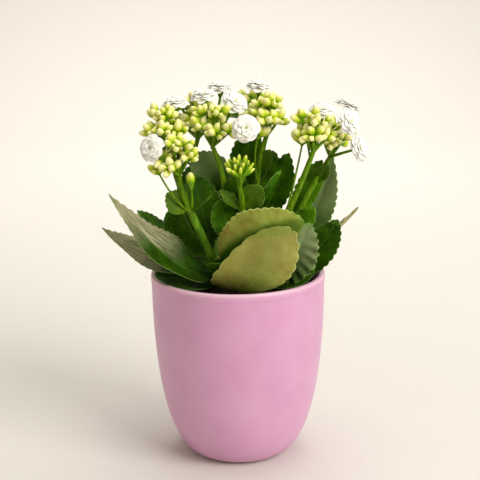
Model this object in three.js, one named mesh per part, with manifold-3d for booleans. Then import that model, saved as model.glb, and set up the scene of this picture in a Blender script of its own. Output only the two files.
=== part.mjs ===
// A potted kalanchoe with double white flowers, in a plain matt-glazed pot with a curved-in base.
// Millimetres, +Z up. The origin is the middle of the pot's flat foot. The photograph's view is from -Y.
//
// The pot holds a fill of potting soil. Eight fleshy stems stand in plain holes in the soil, each carries
// broad scalloped leaves, and each ends in a flower head: a light stalk that forks into arms of closed buds,
// with the open double flowers on arms of their own.

import * as THREE from "three";
import { mergeVertices } from "three/addons/utils/BufferGeometryUtils.js";
import Module from "manifold-3d";

const wasm = await Module();
wasm.setup();

// ---- Driving dimensions ----

const POT = { height: 145, radius: 66.6, footRadius: 29, wall: 4, floor: 7, bulge: 2.35, sides: 32 };
const LIP = { height: 6.5, proud: 0.4, round: 1.6 };
const SOIL = { edge: 132, crown: 135, grain: 1.1, rings: 3, sides: 16 };

const SEAT_GAP = 0.3; // between pieces that rest in or on each other

// A blade: how thick it is at its rib and its edge, what share of its length is stalk and how wide that is,
// how far out its widest place lies, how round its ends are, how far its halves are shifted along it (lean, a
// share of their width) and its scallops on each side.
const OUTLINE = { edge: 0.7, stalkShare: 0.14, fullness: 1.15, roundness: 0.6, lean: 0 };
const LEAF = { ...OUTLINE, thickness: 2.4, stalkWidth: 5.5, teeth: 7 };
const TAPERED = { fullness: 0.72, roundness: 1 }; // a leaf that is widest near its stalk
const BLUNT = { fullness: 1.3, roundness: 0.45 }; // one that is widest near its round tip
const TALL = { roundness: 0.8 }; // one with a narrower tip
const FAN = { stalkShare: 0.38, fullness: 1, roundness: 0.35, lean: 0.6 }; // the widest leaf
const SMALL_LEAF = { width: 31, teeth: 4 };
const BRACT = { ...OUTLINE, thickness: 1.4, stalkWidth: 2.6, teeth: 3, fold: 0.15, cup: 0.1, sag: 2 };
const MARGIN = { inner: 0.55, notch: 0.1, wave: 1.1, waves: 5 }; // of every blade
const SCALLOP = [0, 0.55, 1]; // where one scallop's corners lie along it

const STALK = { radius: 2.4, fork: 1.8, knob: 2.7, sides: 6 };
const ARM = { radius: 1.3, tip: 1, sides: 3, buds: 2 };
const BUD = { length: 8.4, radius: 3.1, stalk: 0.75, sides: 4, sunk: 0.9, room: 5.4, tries: 8 };
const BLOOM = { radius: 10.5, petals: [7, 5], shares: [1, 0.72], slopes: [10, 40], cleft: 0.55, heart: 4 };
const PETAL_CORNERS = [[0, BLOOM.cleft], [0.28, 1], [0.72, 1]]; // round one petal: share of its turn, reach
const BLOOM_BACK = 1; // how far a bloom's middle reaches behind its place
const BLOOM_EDGE = 0.7; // how thick a petal is
const BLOOM_ROOM = 12.5; // how far from a bloom's middle the buds stay
const CALYX = { depth: 3, radius: 2.2, sides: 5 };

const GREEN = { stem: 0x6f8f35, leaf: 0x2f5220, pale: 0x85873f, stalk: 0x7fa23a };
const PINK = 0xd890ac;
const EARTH = 0x2b1c14;
const WHITE = 0xf7f3e6;

// ---- Small helpers ----

const degrees = THREE.MathUtils.degToRad;
const vector = (x, y, z) => new THREE.Vector3(x, y, z);
const smooth = (x) => THREE.MathUtils.smoothstep(x, 0, 1);

/** A repeatable draw of numbers from 0 to 1. */
function drawFrom(seed) {
  let state = seed;
  return () => {
    state = (state * 16807) % 2147483647;
    return state / 2147483647;
  };
}

/** A closed surface as a solid. Triangles that lost their area at a tip are left out. */
function solidOf(geometry) {
  const bare = new THREE.BufferGeometry().setAttribute("position", geometry.getAttribute("position"));
  bare.setIndex(geometry.index);
  const merged = mergeVertices(bare, 1e-4);
  const index = merged.index.array;
  const kept = [];
  for (let i = 0; i < index.length; i += 3) {
    const [a, b, c] = [index[i], index[i + 1], index[i + 2]];
    if (a !== b && b !== c && a !== c) kept.push(a, b, c);
  }
  const vertProperties = new Float32Array(merged.attributes.position.array);
  return new wasm.Manifold(new wasm.Mesh({ numProp: 3, vertProperties, triVerts: new Uint32Array(kept) }));
}

/** A solid's surface, for a mesh. */
function geometryOf(solid) {
  const { vertProperties, triVerts } = solid.getMesh();
  const geometry = new THREE.BufferGeometry();
  geometry.setAttribute("position", new THREE.BufferAttribute(vertProperties, 3));
  geometry.setIndex(new THREE.BufferAttribute(triVerts, 1));
  geometry.computeVertexNormals();
  return geometry;
}

/** A surface from a list of triangles, three points each. */
function surfaceOf(points) {
  return new THREE.BufferGeometry().setFromPoints(points);
}

/** Joins several solids into one. */
const joined = (solids) => solids.reduce((whole, next) => whole.add(next));

/** The solid turned about +Z from a profile of [radius, height] points, which starts and ends on the axis. */
function turned(profile, sides) {
  const lathe = new THREE.LatheGeometry(profile.map(([r, z]) => new THREE.Vector2(r, z)), sides);
  return lathe.rotateX(Math.PI / 2);
}

function named(name, geometry, color, roughness) {
  const mesh = new THREE.Mesh(geometry, new THREE.MeshStandardMaterial({ color, roughness, metalness: 0 }));
  mesh.name = name;
  return mesh;
}

const shares = (count) => Array.from({ length: count + 1 }, (_, i) => i / count);

/** A round tube along a curve, narrowing evenly from one radius to the other, with flat ends. */
function tube(curve, fromRadius, toRadius, sides, steps) {
  const corners = shares(sides).slice(1).map((s) => 2 * Math.PI * s);
  const section = new THREE.Shape(corners.map((a) => new THREE.Vector2(Math.cos(a), Math.sin(a))));
  const geometry = new THREE.ExtrudeGeometry(section, { steps, extrudePath: curve });
  const middles = curve.getSpacedPoints(steps);
  const place = geometry.getAttribute("position");
  for (let i = 0; i < place.count; i++) {
    const corner = vector().fromBufferAttribute(place, i);
    const away = middles.map((middle) => middle.distanceTo(corner));
    const nearest = away.indexOf(Math.min(...away));
    const radius = fromRadius + ((toRadius - fromRadius) * nearest) / steps;
    corner.sub(middles[nearest]).multiplyScalar(radius).add(middles[nearest]);
    place.setXYZ(i, corner.x, corner.y, corner.z);
  }
  return solidOf(geometry);
}

const straight = (from, to) => new THREE.LineCurve3(from, to);
const arched = (from, middle, to) => new THREE.QuadraticBezierCurve3(from, middle, to);

// ---- Pot and soil ----

/** The pot's outside radius at a height: nearly upright walls that curve in to the foot. */
function potRadius(z) {
  const fallen = 1 - Math.min(Math.max(z / POT.height, 0), 1);
  const swell = (1 - fallen ** POT.bulge) ** (1 / POT.bulge);
  return POT.footRadius + (POT.radius - POT.footRadius) * swell;
}

function potGeometry() {
  const lipFoot = POT.height - LIP.height;
  const outside = shares(8).map((s) => lipFoot * s * s * (1.5 - 0.5 * s)).map((z) => [potRadius(z), z]);
  const lip = [
    [POT.radius + LIP.proud, lipFoot + 1],
    [POT.radius + LIP.proud, POT.height - LIP.round],
    [POT.radius + LIP.proud - LIP.round * 0.6, POT.height],
    [POT.radius - POT.wall + LIP.round * 0.6, POT.height],
    [POT.radius - POT.wall, POT.height - LIP.round],
  ];
  const inside = shares(6)
    .map((s) => POT.floor + (lipFoot - POT.floor) * (1 - s) ** 1.7)
    .map((z) => [potRadius(z) - POT.wall, z]);
  return turned([[0, 0], ...outside, ...lip, ...inside, [0, POT.floor]], POT.sides);
}

/** The soil fills the pot to just under the lip, a little higher in the middle, with a hole for each stem. */
function soilSolid() {
  const side = shares(6)
    .map((s) => POT.floor + SEAT_GAP + (SOIL.edge - POT.floor - SEAT_GAP) * s ** 1.7)
    .map((z) => [potRadius(z - SEAT_GAP) - POT.wall - SEAT_GAP, z]);
  const rim = side.at(-1)[0];
  const top = shares(SOIL.rings)
    .slice(1)
    .map((s) => [rim * (1 - s), SOIL.edge + (SOIL.crown - SOIL.edge) * smooth(s)]);
  const fill = turned([[0, POT.floor + SEAT_GAP], ...side, ...top], SOIL.sides);
  const place = fill.getAttribute("position");
  for (let i = 0; i < place.count; i++) {
    const [x, y, z] = [place.getX(i), place.getY(i), place.getZ(i)];
    const inland = smooth((rim - Math.hypot(x, y)) / 8);
    if (z > SOIL.edge - 1) place.setZ(i, z + SOIL.grain * inland * Math.sin(x / 3.1) * Math.cos(y / 2.7));
  }
  return Object.values(STEMS).reduce((soil, stem) => soil.subtract(stem.clearance), solidOf(fill));
}

// ---- Stems ----

// Each stem: its radius at the foot and at the top, and its curve's four points, from inside the soil up.
const STEMS = {
  left: { radii: [3.9, 2.8], points: [[-9, -6, 112], [-12, -10, 145], [-21, -20, 166], [-34, -28, 197]] },
  front: { radii: [3.3, 2.5], points: [[5, -8, 112], [5, -12, 140], [4, -18, 170], [4, -27, 197]] },
  middle_left: { radii: [3.5, 2.6], points: [[-5, 5, 112], [-5, 5, 145], [-6, 4, 172], [-9, 3, 206]] },
  middle_right: { radii: [3.5, 2.6], points: [[8, 5, 112], [10, 7, 145], [12, 9, 172], [15, 11, 206]] },
  right: { radii: [3.8, 2.8], points: [[15, -4, 112], [19, -6, 145], [26, -8, 165], [40, -8, 196]] },
  far_right: { radii: [3.8, 2.8], points: [[19, 7, 112], [24, 9, 145], [34, 10, 162], [49, 8, 192]] },
  back_left: { radii: [3.8, 2.8], points: [[-11, 14, 112], [-15, 20, 145], [-22, 27, 172], [-32, 34, 206]] },
  back: { radii: [3.8, 2.8], points: [[5, 17, 112], [6, 24, 145], [6, 31, 172], [4, 38, 210]] },
};

const STEM_SIDES = 6;
const STEM_STEPS = 4;
const FIRST_SEED = 41; // of the flower heads' random draws

for (const stem of Object.values(STEMS)) {
  stem.curve = new THREE.CubicBezierCurve3(...stem.points.map((point) => vector(...point)));
  stem.solid = tube(stem.curve, ...stem.radii, STEM_SIDES, STEM_STEPS);
  const ends = [0, 1].map((u) => {
    const end = stem.curve.getPoint(u);
    const out = stem.curve.getTangent(u).multiplyScalar(u ? SEAT_GAP : -SEAT_GAP);
    const radius = stem.radii[u] + SEAT_GAP;
    return tube(straight(end, out.add(end)), radius, radius, STEM_SIDES, 1);
  });
  const sleeve = tube(stem.curve, ...stem.radii.map((r) => r + SEAT_GAP), STEM_SIDES, STEM_STEPS);
  stem.clearance = joined([sleeve, ...ends]);
}

/** A solid with room left round every stem, as one body. */
function clearOfStems(solid) {
  const cut = Object.values(STEMS).reduce((rest, stem) => rest.subtract(stem.clearance), solid);
  return cut.decompose().sort((a, b) => b.volume() - a.volume())[0];
}

// ---- Leaves ----

/** Half a blade's width at a share u of its length, without scallops: a narrow stalk, then a round blade. */
function halfWidth(leaf, u) {
  const x = Math.max(0, (u - leaf.stalkShare) / (1 - leaf.stalkShare));
  const blade = x < 1 ? Math.sin(Math.PI * x ** leaf.fullness) ** leaf.roundness : 0;
  return (leaf.width / 2) * blade + (leaf.stalkWidth / 2) * (1 - x);
}

/** A point on a blade: u along it, v across it from -1 to 1, on its upper (1) or lower (-1) face. */
function bladePoint(leaf, u, v, face, half = halfWidth(leaf, u)) {
  const along = leaf.rib.getTangent(u);
  const upper = leaf.faces.clone().addScaledVector(along, -leaf.faces.dot(along)).normalize();
  const left = upper.clone().cross(along);
  const spread = (half * v) / Math.hypot(1, leaf.fold);
  const rise = Math.abs(spread) * (leaf.fold + leaf.cup * Math.abs(v));
  const rippled = smooth(3 * u) * smooth(4 - 4 * u) * v * v;
  const ripple = MARGIN.wave * rippled * Math.sin(MARGIN.waves * Math.PI * u + v);
  const depth = (leaf.edge + (leaf.thickness - leaf.edge) * (1 - v * v)) / 2;
  const lift = rise + ripple + face * depth;
  const place = leaf.rib.getPoint(u).addScaledVector(left, spread).addScaledVector(upper, lift);
  return place.addScaledVector(along, leaf.lean * spread);
}

/** A fleshy blade, thickest along its rib, with one scallop on each side for each step of its length. */
function blade(leaf) {
  const corners = [];
  const triangle = (a, b, c, flip) => corners.push(a, ...(flip ? [c, b] : [b, c]));
  const valley = (i) => (i > 1 && i < leaf.teeth ? 1 - MARGIN.notch : 1);
  for (let i = 0; i < leaf.teeth; i++) {
    const [u0, u1] = [i / leaf.teeth, (i + 1) / leaf.teeth];
    for (const side of [1, -1]) {
      const edges = [1, -1].map((face) =>
        SCALLOP.map((s) => {
          const u = u0 + (u1 - u0) * s;
          const notch = s === 0 ? valley(i) : s === 1 ? valley(i + 1) : 1;
          return bladePoint(leaf, u, side, face, halfWidth(leaf, u) * notch);
        }),
      );
      [1, -1].forEach((face, f) => {
        const flip = face * side < 0;
        const [rib0, rib1] = [bladePoint(leaf, u0, 0, face), bladePoint(leaf, u1, 0, face)];
        const [in0, in1] = [u0, u1].map((u) => bladePoint(leaf, u, side * MARGIN.inner, face));
        const edge = edges[f];
        triangle(rib0, rib1, in1, flip);
        triangle(rib0, in1, in0, flip);
        triangle(in0, edge[1], edge[0], flip);
        triangle(in0, in1, edge[1], flip);
        triangle(in1, edge[2], edge[1], flip);
      });
      const [over, under] = edges;
      for (let k = 0; k + 1 < SCALLOP.length; k++) {
        triangle(over[k], over[k + 1], under[k + 1], side < 0);
        triangle(over[k], under[k + 1], under[k], side < 0);
      }
    }
  }
  const across = [1, MARGIN.inner, 0, -MARGIN.inner, -1];
  const upper = across.map((v) => bladePoint(leaf, 0, v, 1));
  const lower = across.map((v) => bladePoint(leaf, 0, v, -1));
  for (let k = 0; k + 1 < across.length; k++) {
    triangle(upper[k], lower[k + 1], upper[k + 1]);
    triangle(upper[k], lower[k], lower[k + 1]);
  }
  return solidOf(surfaceOf(corners));
}

// Each leaf: [stem, how far up it the leaf sits, the point it bends towards, its tip, where its upper side
// faces, width, fold along the rib, cup across it, and what else is its own].
const LEAVES = {
  front_pale: ["front", 0.34, [-4, -64, 125], [28, -47.5, 191], [0, 1, 0.1], 50, 0, 0.1, FAN],
  front_wide: ["left", 0.52, [4, -52, 172], [49, -37, 192], [-0.1, 1, 0.5], 54, 0.05, 0.2],
  left_long: ["left", 0.36, [-46, -42, 146], [-95, -24, 212], [0.1, -0.45, 1], 36, 0.25, 0.1, TAPERED],
  left_low: ["middle_left", 0.42, [-60, -2, 138], [-103, -6, 182], [0, -0.4, 1], 42, 0.2, 0.1, TAPERED],
  left_dark: ["left", 0.52, [-31, 2, 173], [-54, -5, 192], [0.2, -1, 0.3], 34, 0.1, 0.1, BLUNT],
  left_upright: ["left", 0.6, [-23, -14, 192], [-34, -14, 224], [0.3, -1, 0.2], 29, 0.1, 0.1],
  middle_sheen: ["middle_left", 0.84, [-10, 10, 217], [-34, 12, 234], [-0.2, -1, 0.3], 29, 0.1, 0.1],
  middle_dark: ["front", 0.66, [-9, -24, 188], [-13, -26, 207], [0.1, -1, 0.3], 22, 0.1, 0.1],
  middle_top: ["back", 0.9, [10, 26, 214], [10, 24, 254], [0, -1, 0.2], 28, 0.1, 0.1],
  right_round: ["middle_right", 0.74, [30, 12, 196], [40, 14, 234], [-0.4, -1, 0.2], 24, 0.1, 0.1],
  right_folded: ["middle_right", 0.86, [20, -8, 198], [33, -14, 226], [-0.7, 0.3, 0.7], 18, 0.3, 0.1],
  right_tall: ["far_right", 0.5, [60, 16, 166], [75, 24, 229], [-0.3, -1, 0.2], 28, 0.2, 0.1, TALL],
  right_low: ["far_right", 0.28, [60, -6, 150], [76, -6, 186], [0, -1, 0.4], 26, 0.1, 0.1],
  right_edge: ["far_right", 0.4, [66, 14, 158], [92, -4, 195], [0.3, -0.2, 1], 16, 0.2, 0.1, TAPERED],
  right_small: ["right", 0.68, [50, -15, 184], [58, -18, 198], [-0.2, -1, 0.6], 15, 0.1, 0.1],
  right_crimped: ["right", 0.44, [44, -32, 147], [53, -24, 188], [-0.2, -1, 0.4], 32, 0.1, 0.15],
  right_upper: ["far_right", 0.82, [54, 18, 203], [66, 20, 227], [-0.3, -1, 0.3], 18, 0.1, 0.1],
  back_right: ["back", 0.44, [40, 46, 144], [66, 62, 184], [0, 0, 1], 44, 0.2, 0.1],
  back_middle: ["back", 0.5, [5, 66, 146], [-2, 90, 186], [0, 0, 1], 44, 0.2, 0.1],
  back_low: ["back_left", 0.42, [-36, 56, 144], [-48, 80, 182], [0, 0, 1], 44, 0.2, 0.1],
  back_side: ["back_left", 0.5, [-55, 36, 150], [-80, 42, 184], [0, 0, 1], 36, 0.2, 0.1],
  back_upper: ["back_left", 0.76, [-34, 46, 186], [-36, 58, 218], [0.3, -0.7, 0.6], 30, 0.1, 0.1],
  back_tall: ["back", 0.74, [20, 52, 186], [30, 60, 228], [-0.4, -0.8, 0.6], 36, 0.1, 0.1],
};

function leafFrom([stem, at, towards, tip, faces, width, fold, cup, own]) {
  const rib = arched(STEMS[stem].curve.getPoint(at), vector(...towards), vector(...tip));
  const teeth = width < SMALL_LEAF.width ? SMALL_LEAF.teeth : LEAF.teeth;
  return { ...LEAF, teeth, rib, faces: vector(...faces).normalize(), width, fold, cup, ...own };
}

// ---- Flower heads ----

// Each flower head stands on the stem of the same name. forks: where a stalk ends and its arms spread
// [place, axis, arms, their reach, their spread in degrees]; bud: the size of its buds; bracts: small leaves
// on the first stalk [share up it, from root to tip, width, where its upper side faces]; blooms: open flowers
// [place, where it faces].
const HEADS = {
  left: {
    bud: 0.95,
    forks: [[[-42, -30, 226], [-0.2, -0.1, 1], 5, 14, 46], [[-51, -9, 246], [-0.1, 0, 1], 5, 13, 48]],
    bracts: [[0.04, [-17, -3, 15], 19, [0.3, -1, 0.4]], [0.04, [16, -3, 13], 8, [-0.2, -0.2, 1]]],
    blooms: [[[-60, -36, 247], [-0.6, -0.8, 0.3]], [[-45, 6, 272], [-0.1, -0.2, 1]]],
  },
  front: {
    bud: 0.68,
    forks: [[[2, -33, 218], [0, 0, 1], 4, 7, 28]],
    bracts: [[0.1, [14, -1, 18], 19, [-0.3, -1, 0.4]], [0.1, [-17, 0, 15], 10, [0.6, -0.8, 0.6]]],
    blooms: [],
  },
  middle_left: {
    bud: 1,
    forks: [[[-18, 0, 242], [0, 0, 1], 5, 16, 44]],
    bracts: [],
    blooms: [[[-1, 8, 273], [0.3, -0.6, 0.7]], [[-24, 12, 277], [-0.1, -0.3, 1]]],
  },
  middle_right: {
    bud: 1,
    forks: [[[23, 10, 248], [0.1, 0, 1], 5, 16, 42]],
    bracts: [[0.35, [9, -4, 17], 12, [-0.4, -1, 0.3]]],
    blooms: [[[7, -26, 259], [0, -0.95, 0.3]]],
  },
  right: {
    bud: 1,
    forks: [[[57, -9, 238], [0, 0, 1], 5, 15, 42]],
    bracts: [],
    blooms: [[[83, -10, 260], [0.6, -0.7, 0.4]], [[64, 2, 266], [-0.1, -0.3, 1]]],
  },
  far_right: {
    bud: 1,
    forks: [[[72, 16, 230], [0.1, 0, 1], 5, 15, 40]],
    bracts: [[0.5, [10, -2, 14], 11, [-0.4, -1, 0.3]]],
    blooms: [[[90, -8, 240], [0.7, -0.6, 0.3]], [[84, 16, 267], [0.4, 0, 1]]],
  },
  back_left: {
    bud: 1,
    forks: [[[-30, 36, 242], [-0.1, 0.1, 1], 5, 16, 44]],
    bracts: [[0.4, [-14, 12, 12], 13, [0.4, 0.4, 1]]],
    blooms: [[[-12, 34, 280], [0, -0.2, 1]], [[-52, 52, 262], [-0.6, 0.6, 0.6]]],
  },
  back: {
    bud: 1,
    forks: [[[8, 42, 246], [0.1, 0.1, 1], 5, 16, 44]],
    bracts: [[0.4, [13, 12, 12], 13, [-0.4, 0.4, 1]]],
    blooms: [[[18, 34, 281], [0.1, -0.2, 1]], [[22, 66, 262], [0.3, 0.8, 0.5]]],
  },
};

/** Turns a geometry's +Z to a direction, and moves its origin to a place. */
function placed(geometry, at, direction) {
  const turn = new THREE.Quaternion().setFromUnitVectors(vector(0, 0, 1), direction);
  return geometry.applyMatrix4(new THREE.Matrix4().compose(at, turn, vector(1, 1, 1)));
}

/** One closed bud on its own short stalk, along +Z from its root. */
function budGeometry(size, stalk) {
  const length = BUD.length * size;
  const radius = BUD.radius * size;
  const profile = [[0, 0], [BUD.stalk, stalk], [radius, stalk + length / 2], [0, stalk + length]];
  return turned(profile, BUD.sides);
}

/** Directions round an axis: tilted away from it, then turned about it. */
function around(axis, tilt, turn) {
  const sideways = vector(1, 0, 0).cross(axis).normalize();
  return axis.clone().applyAxisAngle(sideways, degrees(tilt)).applyAxisAngle(axis, 2 * Math.PI * turn);
}

/** Where every bloom stands, and then every bud as it is placed: the next bud stays clear of them. */
const taken = Object.values(HEADS).flatMap((head) =>
  head.blooms.map(([at]) => ({ at: vector(...at), room: BLOOM_ROOM })),
);

/** The arms of one fork. Each ends in a knot of buds, and a bud that finds no room is left out. */
function spray([place, axis, arms, reach, spread], budSize, draw) {
  const fork = vector(...place);
  const main = vector(...axis).normalize();
  const knob = [[0, -STALK.knob], [STALK.knob, 0], [0, STALK.knob]];
  const parts = [solidOf(placed(turned(knob, STALK.sides), fork, main))];
  for (let arm = 0; arm <= arms; arm++) {
    const tilt = arm === arms ? 0 : spread * (0.7 + 0.5 * draw());
    const aim = around(main, tilt, (arm + 0.5 * draw()) / arms);
    const knot = fork.clone().addScaledVector(aim, reach * (0.85 + 0.3 * draw()));
    knot.addScaledVector(main, arm === arms ? 0.3 * reach : 0);
    parts.push(tube(straight(fork, knot), ARM.radius, ARM.tip, ARM.sides, 1));
    const upward = aim.clone().add(main).normalize();
    for (let bud = 0; bud < ARM.buds; bud++) {
      const size = budSize * (0.85 + 0.3 * draw());
      const stalk = 2.5 + 2 * draw();
      for (let attempt = 0; attempt < BUD.tries; attempt++) {
        const way = around(upward, 10 + 40 * draw(), (bud + 0.6 * draw()) / ARM.buds);
        const root = knot.clone().addScaledVector(way, -BUD.sunk);
        const middle = root.clone().addScaledVector(way, stalk + (BUD.length * size) / 2);
        if (taken.some(({ at, room }) => at.distanceTo(middle) < room)) continue;
        taken.push({ at: middle, room: BUD.room * budSize });
        parts.push(solidOf(placed(budGeometry(size, stalk), root, way)));
        break;
      }
    }
  }
  return parts;
}

/** One whole head: its stalks, bracts, the arms of its open flowers with their cups, and its buds. */
function flowerHead(name, head, seed) {
  const draw = drawFrom(seed);
  const stem = STEMS[name];
  const top = stem.curve.getPoint(1);
  const out = stem.curve.getTangent(1);
  const stalks = head.forks.map(([place]) => {
    const fork = vector(...place);
    return arched(top, top.clone().addScaledVector(out, top.distanceTo(fork) / 2), fork);
  });
  const parts = stalks.map((stalk) => tube(stalk, STALK.radius, STALK.fork, STALK.sides, 2));
  for (const [at, reach, width, faces] of head.bracts) {
    const root = stalks[0].getPoint(at);
    const tip = root.clone().add(vector(...reach));
    const bow = root.clone().lerp(tip, 0.5).sub(vector(0, 0, BRACT.sag));
    parts.push(blade({ ...BRACT, rib: arched(root, bow, tip), faces: vector(...faces).normalize(), width }));
  }
  for (const [place, faces] of head.blooms) {
    const facing = vector(...faces).normalize();
    const back = vector(...place).addScaledVector(facing, -BLOOM_BACK - SEAT_GAP);
    const foot = back.clone().addScaledVector(facing, -CALYX.depth);
    const forks = stalks.map((stalk) => stalk.getPoint(1));
    const fork = forks.sort((a, b) => a.distanceTo(foot) - b.distanceTo(foot))[0];
    const bow = foot.clone().addScaledVector(facing, -fork.distanceTo(foot) * 0.4);
    const sunk = foot.clone().addScaledVector(facing, CALYX.depth / 4);
    parts.push(tube(arched(fork, bow, sunk), ARM.radius, ARM.tip, ARM.sides, 2));
    const cup = [[0, 0], [ARM.tip, 0], [CALYX.radius, CALYX.depth], [0, CALYX.depth]];
    parts.push(solidOf(placed(turned(cup, CALYX.sides), foot, facing)));
  }
  head.forks.forEach((fork) => parts.push(...spray(fork, head.bud, draw)));
  return clearOfStems(joined(parts));
}

/** One open double flower facing +Z: rings of petals, each smaller and steeper than the one below it. */
function bloomGeometry() {
  const rings = BLOOM.petals.map((petals, ring) => {
    const radius = BLOOM.radius * BLOOM.shares[ring];
    const edge = [];
    for (let petal = 0; petal < petals; petal++) {
      for (const [turn, reach] of PETAL_CORNERS) {
        const angle = (2 * Math.PI * (petal + turn + ring * 0.37)) / petals;
        const out = radius * reach;
        const lift = out * Math.tan(degrees(BLOOM.slopes[ring])) + ring * 0.5;
        edge.push(vector(out * Math.cos(angle), out * Math.sin(angle), lift));
      }
    }
    const over = vector(0, 0, 0.6 + BLOOM.heart * ring);
    const under = vector(0, 0, (ring - 1) * BLOOM_BACK);
    const corners = [];
    edge.forEach((corner, i) => {
      const next = edge[(i + 1) % edge.length];
      const [low, nextLow] = [corner, next].map((point) => point.clone().sub(vector(0, 0, BLOOM_EDGE)));
      corners.push(over, corner, next, under, nextLow, low, corner, low, nextLow, corner, nextLow, next);
    });
    return solidOf(surfaceOf(corners));
  });
  return geometryOf(joined(rings));
}

// ---- The object ----

const plant = new THREE.Group();

for (const [name, stem] of Object.entries(STEMS)) {
  plant.add(named(`stem_${name}`, geometryOf(stem.solid), GREEN.stem, 0.5));
}

for (const [name, row] of Object.entries(LEAVES)) {
  const color = name.startsWith("front") ? GREEN.pale : GREEN.leaf;
  const solid = clearOfStems(blade(leafFrom(row)));
  plant.add(named(`leaf_${name}`, geometryOf(solid), color, 0.45));
}

Object.entries(HEADS).forEach(([name, head], order) => {
  const solid = flowerHead(name, head, FIRST_SEED + order);
  plant.add(named(`flower_head_${name}`, geometryOf(solid), GREEN.stalk, 0.55));
  head.blooms.forEach(([place, faces], i) => {
    const bloom = named(`bloom_${name}_${i + 1}`, bloomGeometry(), WHITE, 0.6);
    bloom.position.set(...place);
    bloom.quaternion.setFromUnitVectors(vector(0, 0, 1), vector(...faces).normalize());
    plant.add(bloom);
  });
});

const holder = new THREE.Group();
holder.add(named("pot", potGeometry(), PINK, 0.55));
holder.add(named("soil", geometryOf(soilSolid()), EARTH, 0.95));

const kalanchoe = new THREE.Group();
kalanchoe.add(holder, plant);

export default kalanchoe;
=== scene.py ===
"""A potted kalanchoe with double white flowers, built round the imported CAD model.

Lengths are millimetres until a piece is finished, when its mesh is scaled to metres.
"""
from math import atan2, copysign, cos, exp, hypot, pi, radians, sin, sqrt

import bmesh
import bpy
from mathutils import Matrix, Quaternion, Vector, noise


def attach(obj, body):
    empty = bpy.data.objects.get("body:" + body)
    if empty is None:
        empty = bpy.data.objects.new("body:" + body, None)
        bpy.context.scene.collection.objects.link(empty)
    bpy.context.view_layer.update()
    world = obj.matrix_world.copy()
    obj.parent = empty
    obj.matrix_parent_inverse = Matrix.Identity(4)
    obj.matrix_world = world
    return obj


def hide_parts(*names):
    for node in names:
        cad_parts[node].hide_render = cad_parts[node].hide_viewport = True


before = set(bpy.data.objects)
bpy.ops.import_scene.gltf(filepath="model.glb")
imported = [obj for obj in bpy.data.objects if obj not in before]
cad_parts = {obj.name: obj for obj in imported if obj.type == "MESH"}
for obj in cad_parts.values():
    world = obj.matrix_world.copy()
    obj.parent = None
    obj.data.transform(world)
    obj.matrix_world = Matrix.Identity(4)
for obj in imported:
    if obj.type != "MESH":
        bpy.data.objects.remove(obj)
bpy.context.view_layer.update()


# ---- Pot ----
# One slip-cast earthenware pot, egg-shaped, with a soft low lip. Its mauve glaze was fired to a satin
# finish, and the ring that it stands on was wiped clean of glaze, so bare clay shows there.

POT_HEIGHT = 145
POT_RADIUS = 66.6
POT_FOOT = 29
POT_WALL = 4
POT_FLOOR = 7
POT_BULGE = 2.35
LIP_HEIGHT = 6.5
LIP_PROUD = 0.4
LIP_ROUND = 1.6
LIP_STEP = 1.4
POT_SEGMENTS = 128
EASED = {"interpolation_type": "SMOOTHSTEP"}  # for a range that starts and ends softly
COLOURS = {"data_type": "RGBA", "out": 2}  # for a mix of two colours


def linear(hex_colour):
    """An sRGB hex colour as linear red, green, blue and alpha."""
    channels = [int(hex_colour[i : i + 2], 16) / 255 for i in (1, 3, 5)]
    return [c / 12.92 if c <= 0.04045 else ((c + 0.055) / 1.055) ** 2.4 for c in channels] + [1]


def add(tree, kind, inputs=None, stops=None, out=0, **settings):
    """Adds a node with its settings and gives back one of its outputs. An input is a value, or the output
    that feeds it."""
    node = tree.nodes.new("ShaderNode" + kind)
    for name, value in settings.items():
        setattr(node, name, value)
    for name, value in (inputs or {}).items():
        if isinstance(value, bpy.types.NodeSocket):
            tree.links.new(value, node.inputs[name])
        else:
            node.inputs[name].default_value = value
    if stops:
        ramp = node.color_ramp.elements
        while len(ramp) < len(stops):
            ramp.new(0.5)
        for element, (place, colour) in zip(ramp, stops):
            element.position = place
            element.color = linear(colour)
    return node.outputs[out]


def new_material(name, **surface):
    """A material with its shader's fixed values, its node tree and its shader."""
    material = bpy.data.materials.new(name)
    material.use_nodes = True
    shader = material.node_tree.nodes["Principled BSDF"]
    for socket, value in surface.items():
        shader.inputs[socket.replace("_", " ")].default_value = value
    return material, material.node_tree, shader


def connect(tree, shader, colour, bump):
    """Gives a shader its colour and its relief."""
    tree.links.new(colour, shader.inputs["Base Color"])
    tree.links.new(bump, shader.inputs["Normal"])


def span(start, end, steps):
    """Even steps from start to end."""
    return [start + (end - start) * i / steps for i in range(steps + 1)]


def smooth(x):
    """0 below 0, 1 above 1, and an even ease between them."""
    x = min(max(x, 0), 1)
    return x * x * (3 - 2 * x)


def turned(bm, profile, segments):
    """Spins a profile of (radius, height) points about +Z. Its first point lies on the axis."""
    verts = [bm.verts.new((r, 0, z)) for r, z in profile]
    edges = [bm.edges.new(pair) for pair in zip(verts, verts[1:])]
    bmesh.ops.spin(
        bm, geom=verts + edges, axis=(0, 0, 1), cent=(0, 0, 0), angle=2 * pi, steps=segments, use_merge=True
    )
    bmesh.ops.remove_doubles(bm, verts=bm.verts, dist=1e-4)
    bmesh.ops.recalc_face_normals(bm, faces=bm.faces)


def mesh_from(bm, name):
    """The mesh of a finished bmesh."""
    mesh = bpy.data.meshes.new(name)
    bm.to_mesh(mesh)
    bm.free()
    return mesh


def new_object(name, data):
    """An object, put into the scene."""
    placed = bpy.data.objects.new(name, data)
    bpy.context.scene.collection.objects.link(placed)
    return placed


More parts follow.
